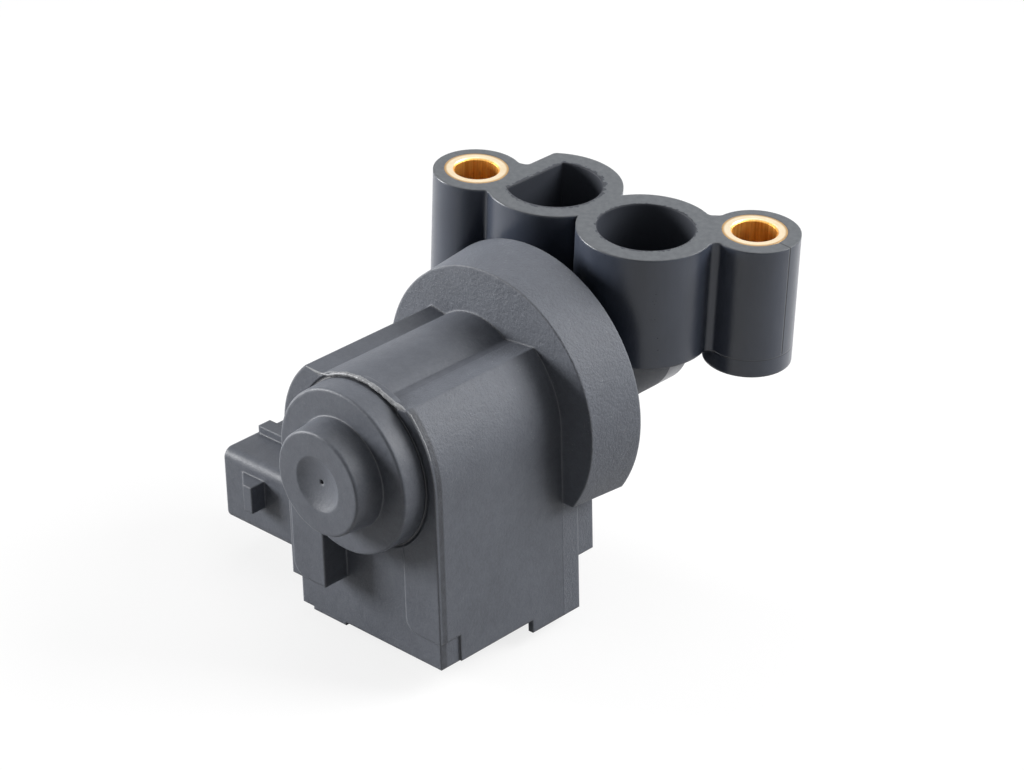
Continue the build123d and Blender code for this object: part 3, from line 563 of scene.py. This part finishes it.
# %% Turned metal
def turned(name, dark, pale, gloss, line_size=0.06):
    finish = Finish(name)
    lines = finish.noise(line_size, detail=2.0, place=finish.scaled(0.05, 1, 0.05))
    stain = finish.noise(2.5, detail=4.0, roughness=0.6).between(0.45, 0.75)
    plain = finish.mix(lines.between(0.3, 0.7), dark, pale)
    colour = finish.mix(stain * 0.35, plain, [channel * 0.7 for channel in dark])
    rough = lines * 0.1 + stain * 0.12 + gloss
    relief = finish.bump(lines, 0.003, under=finish.round_edges(0.12))
    return finish.end(finish.shader(colour, rough, relief, METAL))


@fills_slot
def shaft_steel():
    return turned("shaft_steel", (0.50, 0.50, 0.51), (0.63, 0.63, 0.64), 0.16)


@fills_slot
def bearing_steel():
    return turned("bearing_steel", (0.60, 0.60, 0.60), (0.72, 0.72, 0.72), 0.10, line_size=0.1)


@fills_slot
def cage_steel():
    return turned("cage_steel", (0.46, 0.43, 0.38), (0.58, 0.55, 0.50), 0.26, line_size=0.2)


@fills_slot
def spring_steel():
    return turned("spring_steel", (0.36, 0.37, 0.40), (0.48, 0.49, 0.53), 0.22, line_size=0.15)


# %% [markdown]
# ## Cast and sintered metal
#
# The bearing carrier and the magnet's hub are cast, and the magnet is pressed from ferrite powder.
# None of them has lines: they have small pits and a mottled tone. Scattered points give the pits,
# and only the tones and the metallic share tell the three apart.

# %% Cast and sintered metal
def cast(name, dark, pale, gloss, metallic):
    finish = Finish(name)
    mottle = finish.noise(1.2, detail=4.0, roughness=0.6)
    pits = 1 - finish.cells(0.9).between(0.08, 0.22)
    plain = finish.mix(mottle.between(0.3, 0.7), dark, pale)
    colour = finish.mix(pits * 0.5, plain, [channel * 0.5 for channel in dark])
    rough = mottle * 0.15 + pits * 0.1 + gloss
    relief = finish.bump(mottle - pits * 0.5, 0.02, under=finish.round_edges(0.15))
    return finish.end(finish.shader(colour, rough, relief, {"Metallic": metallic}))


@fills_slot
def carrier_alloy():
    return cast("carrier_alloy", (0.42, 0.42, 0.43), (0.56, 0.56, 0.57), 0.30, 1.0)


@fills_slot
def hub_alloy():
    return cast("hub_alloy", (0.50, 0.49, 0.47), (0.62, 0.61, 0.59), 0.26, 1.0)


@fills_slot
def magnet_ferrite():
    return cast("magnet_ferrite", (0.045, 0.045, 0.048), (0.075, 0.075, 0.080), 0.48, 0.0)


# %% [markdown]
# ## Laminated steel
#
# The pole frame and its core are stacks of thin sheets, punched from steel strip. Their edges show
# as a comb of fine lines, each sheet a little lighter or darker than the next, with light rust. A
# sine along the stack draws the joints, and a noise stretched across it shades the sheets.

# %% Laminations
SHEET_T = 0.5
SHEET_DARK, SHEET_PALE = (0.26, 0.26, 0.27), (0.40, 0.40, 0.41)
RUST = (0.20, 0.10, 0.05)
JOINT = (0.05, 0.05, 0.05)


@fills_slot
def lamination_steel():
    finish = Finish("lamination_steel")
    _, y, _ = finish.axes()
    joint = (y * (2 * pi / SHEET_T)).sine().between(-1.0, -0.8)
    shade = finish.noise(SHEET_T, detail=1.0, place=finish.scaled(0.02, 1, 0.02))
    rust = finish.noise(1.5, detail=5.0, roughness=0.7).between(0.55, 0.72)
    steel = finish.mix(shade.between(0.35, 0.65), SHEET_DARK, SHEET_PALE)
    colour = finish.mix(joint, JOINT, finish.mix(rust * 0.6, steel, RUST))
    rough = rust * 0.3 + shade * 0.1 + 0.32
    relief = finish.bump(joint, 0.05, under=finish.round_edges(0.1))
    return finish.end(finish.shader(colour, rough, relief, {"Metallic": 0.8}))


# %% [markdown]
# ## Tinned blades
#
# The three terminals are stamped from rolled strip and tinned. Rolling leaves fine streaks along
# the blade, and the tin dulls in patches, which a stretched noise and a soft one give.

# %% Terminals
TIN_BRIGHT, TIN_DULL = (0.74, 0.73, 0.70), (0.58, 0.57, 0.55)


@fills_slot
def terminal_tin():
    finish = Finish("terminal_tin")
    rolled = finish.noise(0.08, detail=2.0, place=finish.scaled(0.05, 1, 1))
    dull = finish.noise(1.0, detail=4.0, roughness=0.6).between(0.4, 0.7)
    colour = finish.mix(dull, TIN_BRIGHT, TIN_DULL)
    rough = rolled * 0.12 + dull * 0.14 + 0.20
    relief = finish.bump(rolled, 0.004, under=finish.round_edges(0.12))
    return finish.end(finish.shader(colour, rough, relief, METAL))


# %% [markdown]
# ## Enamelled wire
#
# Each coil is one solid, but the real one is wound from hundreds of turns of copper wire under clear enamel.
# Sweeping every turn would cost more triangles than the whole valve. A sine across the case draws the turns
# side by side instead, with painted shade between them, bent a little by a slow noise so that they don't look
# machined.

# %% Winding
WIRE_PITCH = 0.34
COPPER_DARK, COPPER_PALE = (0.55, 0.20, 0.07), (0.72, 0.31, 0.12)
SHADE_BETWEEN_TURNS = (0.12, 0.035, 0.012)


@fills_slot
def winding_wire():
    finish = Finish("winding_wire")
    across, _ = finish.case_axes()
    turns = (across * (2 * pi / WIRE_PITCH) + finish.noise(4, detail=1.0) * 3).sine()
    tint = finish.noise(0.6, detail=2.0, place=finish.scaled(4, 1, 1))
    copper = finish.mix(tint.between(0.3, 0.7), COPPER_DARK, COPPER_PALE)
    colour = finish.mix(turns.between(-1.0, -0.3), SHADE_BETWEEN_TURNS, copper)
    return finish.end(finish.shader(colour, tint * 0.1 + 0.22, finish.bump(turns, 0.09), {"Metallic": 0.85}))


# %% [markdown]
# ## Give every solid its finish
#
# Each solid arrives with one material, named after the slot of its finish. That name picks the
# finish from the ones made above, so a new solid needs no new line here.

# %% Finishes on the solids
for node in NODES.values():
    slot = node.data.materials[0].name
    node.data.materials.clear()
    node.data.materials.append(made[slot])
print(len(made), "finishes on", len(NODES), "solids")

# %% [markdown]
# ## The path of the bead on the case's front edge
#
# Where the two halves of the mould meet at the front of the case, a thin ragged bead of plastic
# stands on the edge. It arches over the disc, because the mould is cleared round it, and dies out
# down the right side. A bevel on the solid could not follow that arch, so the bead is a sweep, and
# its path is put together from a few points and two arcs.

# %% Bead path
DISC_ARC_R = 12.95
DISC_ARC = range(-29, 25, 3)
CASE_ARC_X, CASE_ARC_Z, CASE_ARC_R = -1.0, -0.2, 15.2
CASE_ARC = range(45, 76, 3)
LEFT_CORNER = [(-11.0, 11.1), (-10.0, 11.02), (-9.0, 10.95), (-8.1, 10.95)]
LEDGE = [(6.6, 11.35), (7.8, 11.2), (8.7, 10.95)]
PARTS_PER_STEP = 4


def arc(x, z, radius, degrees):
    """Points across and up on an arc, its angles counted from straight up."""
    return [(x + radius * sin(radians(a)), z + radius * cos(radians(a))) for a in degrees]


def subdivided(path):
    """The same path with each step cut in several."""
    parts = [k / PARTS_PER_STEP for k in range(PARTS_PER_STEP)]
    fine = [(a + (c - a) * k, b + (d - b) * k) for (a, b), (c, d) in zip(path, path[1:]) for k in parts]
    return fine + [path[-1]]


over_disc = arc(0, 0, DISC_ARC_R, DISC_ARC)
down_side = arc(CASE_ARC_X, CASE_ARC_Z, CASE_ARC_R, CASE_ARC)
bead_path = subdivided(LEFT_CORNER + over_disc + LEDGE + down_side)
print("bead path of", len(bead_path), "points")

# %% [markdown]
# ## The bead
#
# A small circle is carried along the path. Plastic that was squeezed out between two mould halves
# is never even, so the circle's radius wanders a little, and it shrinks towards both ends. Three
# sine waves of unlike lengths give that wander, and they give the same one each time.

# %% Bead
BEAD_R = 0.32
BEAD_Y = CASE_FRONT_Y + 0.05
BEAD_SIDES = 10
WANDER = 0.2
BEAD_PALE, BEAD_PALER = (0.10, 0.105, 0.115), (0.30, 0.305, 0.315)


def bead_radius(k):
    """Radius of the bead at one point of its path."""
    wave = 0.5 * sin(k * 0.37) + 0.3 * sin(k * 0.83 + 1) + 0.4 * sin(k * 1.9)
    along = k / len(bead_path)
    on_side = max(0.45, 1 - 6 * (along - 0.66))
    return BEAD_R * min(1.0, 4 * along + 0.2, on_side, 6 * (1 - along) + 0.1) * (1 + WANDER * wave)


def case_point(across, rise, y):
    """A point given in the motor case's own directions, in metres in the frame."""
    x = across * cos(CASE_TURN) - rise * sin(CASE_TURN)
    return tuple(Vector((x, y, MOTOR_Z + across * sin(CASE_TURN) + rise * cos(CASE_TURN))) * MM)


def bead_ring(k):
    """The bead's circle at one point of its path, square to the path."""
    before, after = bead_path[max(k - 1, 0)], bead_path[min(k + 1, len(bead_path) - 1)]
    ahead = Vector((after[0] - before[0], after[1] - before[1])).normalized()
    (across, rise), radius = bead_path[k], bead_radius(k)
    ring = []
    for j in range(BEAD_SIDES):
        out = radius * cos(2 * pi * j / BEAD_SIDES)
        y = BEAD_Y + radius * sin(2 * pi * j / BEAD_SIDES)
        ring.append(case_point(across - ahead.y * out, rise + ahead.x * out, y))
    return ring


def bead_faces():
    """Four-sided faces between each ring and the next, and one face at each end."""
    last = (len(bead_path) - 1) * BEAD_SIDES
    faces = []
    for start in range(0, last, BEAD_SIDES):
        for j in range(BEAD_SIDES):
            one, other = start + j, start + (j + 1) % BEAD_SIDES
            faces.append((one, other, other + BEAD_SIDES, one + BEAD_SIDES))
    return faces + [tuple(reversed(range(BEAD_SIDES))), tuple(range(last, last + BEAD_SIDES))]


bead_mesh = bpy.data.meshes.new("case_edge_bead")
bead_mesh.from_pydata([point for k in range(len(bead_path)) for point in bead_ring(k)], [], bead_faces())
bead_mesh.shade_smooth()
bead_mesh.materials.append(moulding("bead_plastic", BEAD_PALE, BEAD_PALER, 0.42, 0.35, 0.03))
bead = bpy.data.objects.new("case_edge_bead", bead_mesh)
bpy.context.scene.collection.objects.link(bead)
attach(bead, "housing")
print("bead of", len(bead_mesh.polygons), "faces")

# %% [markdown]
# ## The floor
#
# The valve stands on white paper, and the picture's background is plain white. More light would
# give that too, but it would also bleach the valve. So the camera sees a floor that is mostly plain
# white, with a share of the soft shadow near the valve, and the light that falls on the valve finds
# a dim floor.

# %% Floor
FLOOR_GAP = 0.2 * MM
FLOOR_SIZE = 6
PLAIN_SHARE = 0.8
SHADOW_FROM, SHADOW_TO = 60, 220
WHITE = (1, 1, 1, 1)
PAPER_DARK, PAPER_PALE = (0.92, 0.92, 0.92), (0.95, 0.95, 0.95)
DIM_FLOOR = (0.16, 0.16, 0.16)


def floor_white():
    finish = Finish("floor_white")
    paper = finish.mix(finish.noise(200, detail=1.0), PAPER_DARK, PAPER_PALE)
    lit = finish.shader(finish.mix(finish.looked_at(), DIM_FLOOR, paper), 0.9)
    plain = finish.node("ShaderNodeEmission", {}, {"Color": WHITE, "Strength": 1.0})
    x, y, _ = finish.axes()
    far = ((x ** 2 + y ** 2) ** 0.5).between(SHADOW_FROM, SHADOW_TO)
    share = finish.ray("Camera") * (far * (1 - PLAIN_SHARE) + PLAIN_SHARE)
    return finish.end(finish.node("ShaderNodeMixShader", {}, {0: share, 1: lit, 2: plain}))


bpy.ops.mesh.primitive_plane_add(size=FLOOR_SIZE, location=(0, 0, CAD_BOX[0][2] - FLOOR_GAP))
floor = bpy.context.object
floor.name = "studio_floor"
floor.data.materials.append(floor_white())
print("floor at z", round(floor.location.z, 4), "m")

# %% [markdown]
# ## The lamps
#
# The shoulder of the case is the brightest tone of the picture, and whatever faces the front right stays
# dark. So the strongest panel stands behind on the right. The one above is weak, because the sealing face's
# paler colour is painted already, and the small one at the left is low, so that the front of the case stays a
# little darker than its top.

# %% Lamps
def softbox(name, place, size, power):
    """A square lamp that faces the valve."""
    data = bpy.data.lights.new(name, "AREA")
    data.size = size
    data.energy = power
    lamp = bpy.data.objects.new(name, data)
    bpy.context.scene.collection.objects.link(lamp)
    lamp.location = AIM + Vector(place)
    lamp.rotation_euler = (AIM - lamp.location).to_track_quat("-Z", "Y").to_euler()
    print(name, "of", power, "W")


softbox("top_panel", (-0.05, 0.15, 0.7), 0.6, 2.0)
softbox("back_panel", (0.45, 0.50, 0.45), 0.5, 8.8)
softbox("left_panel", (-0.66, -0.41, 0.15), 0.3, 10.2)

# %% [markdown]
# ## The world
#
# White surroundings show in the gloss at grazing angles, which is what makes black plastic read as
# grey. The world is therefore white to the camera and to reflections, where a strength of one is
# white. As a lamp, a white world would wash out every recess, so all other rays find it dim.

# %% World
DIM_SKY = 0.06
world = bpy.data.worlds.new("studio_world")
bpy.context.scene.world = world
world.use_nodes = True
sky = Graph(world.node_tree)
strength = sky.looked_at() * (1 - DIM_SKY) + DIM_SKY
backdrop = sky.node("ShaderNodeBackground", {}, {"Color": WHITE, "Strength": strength})
sky.node("ShaderNodeOutputWorld", {}, {"Surface": backdrop})
bpy.context.scene.view_settings.view_transform = "Standard"
print("the world lights the valve at", DIM_SKY, "of its white")

# %% [markdown]
# ## The end

# %% End
print("the scene is dressed")
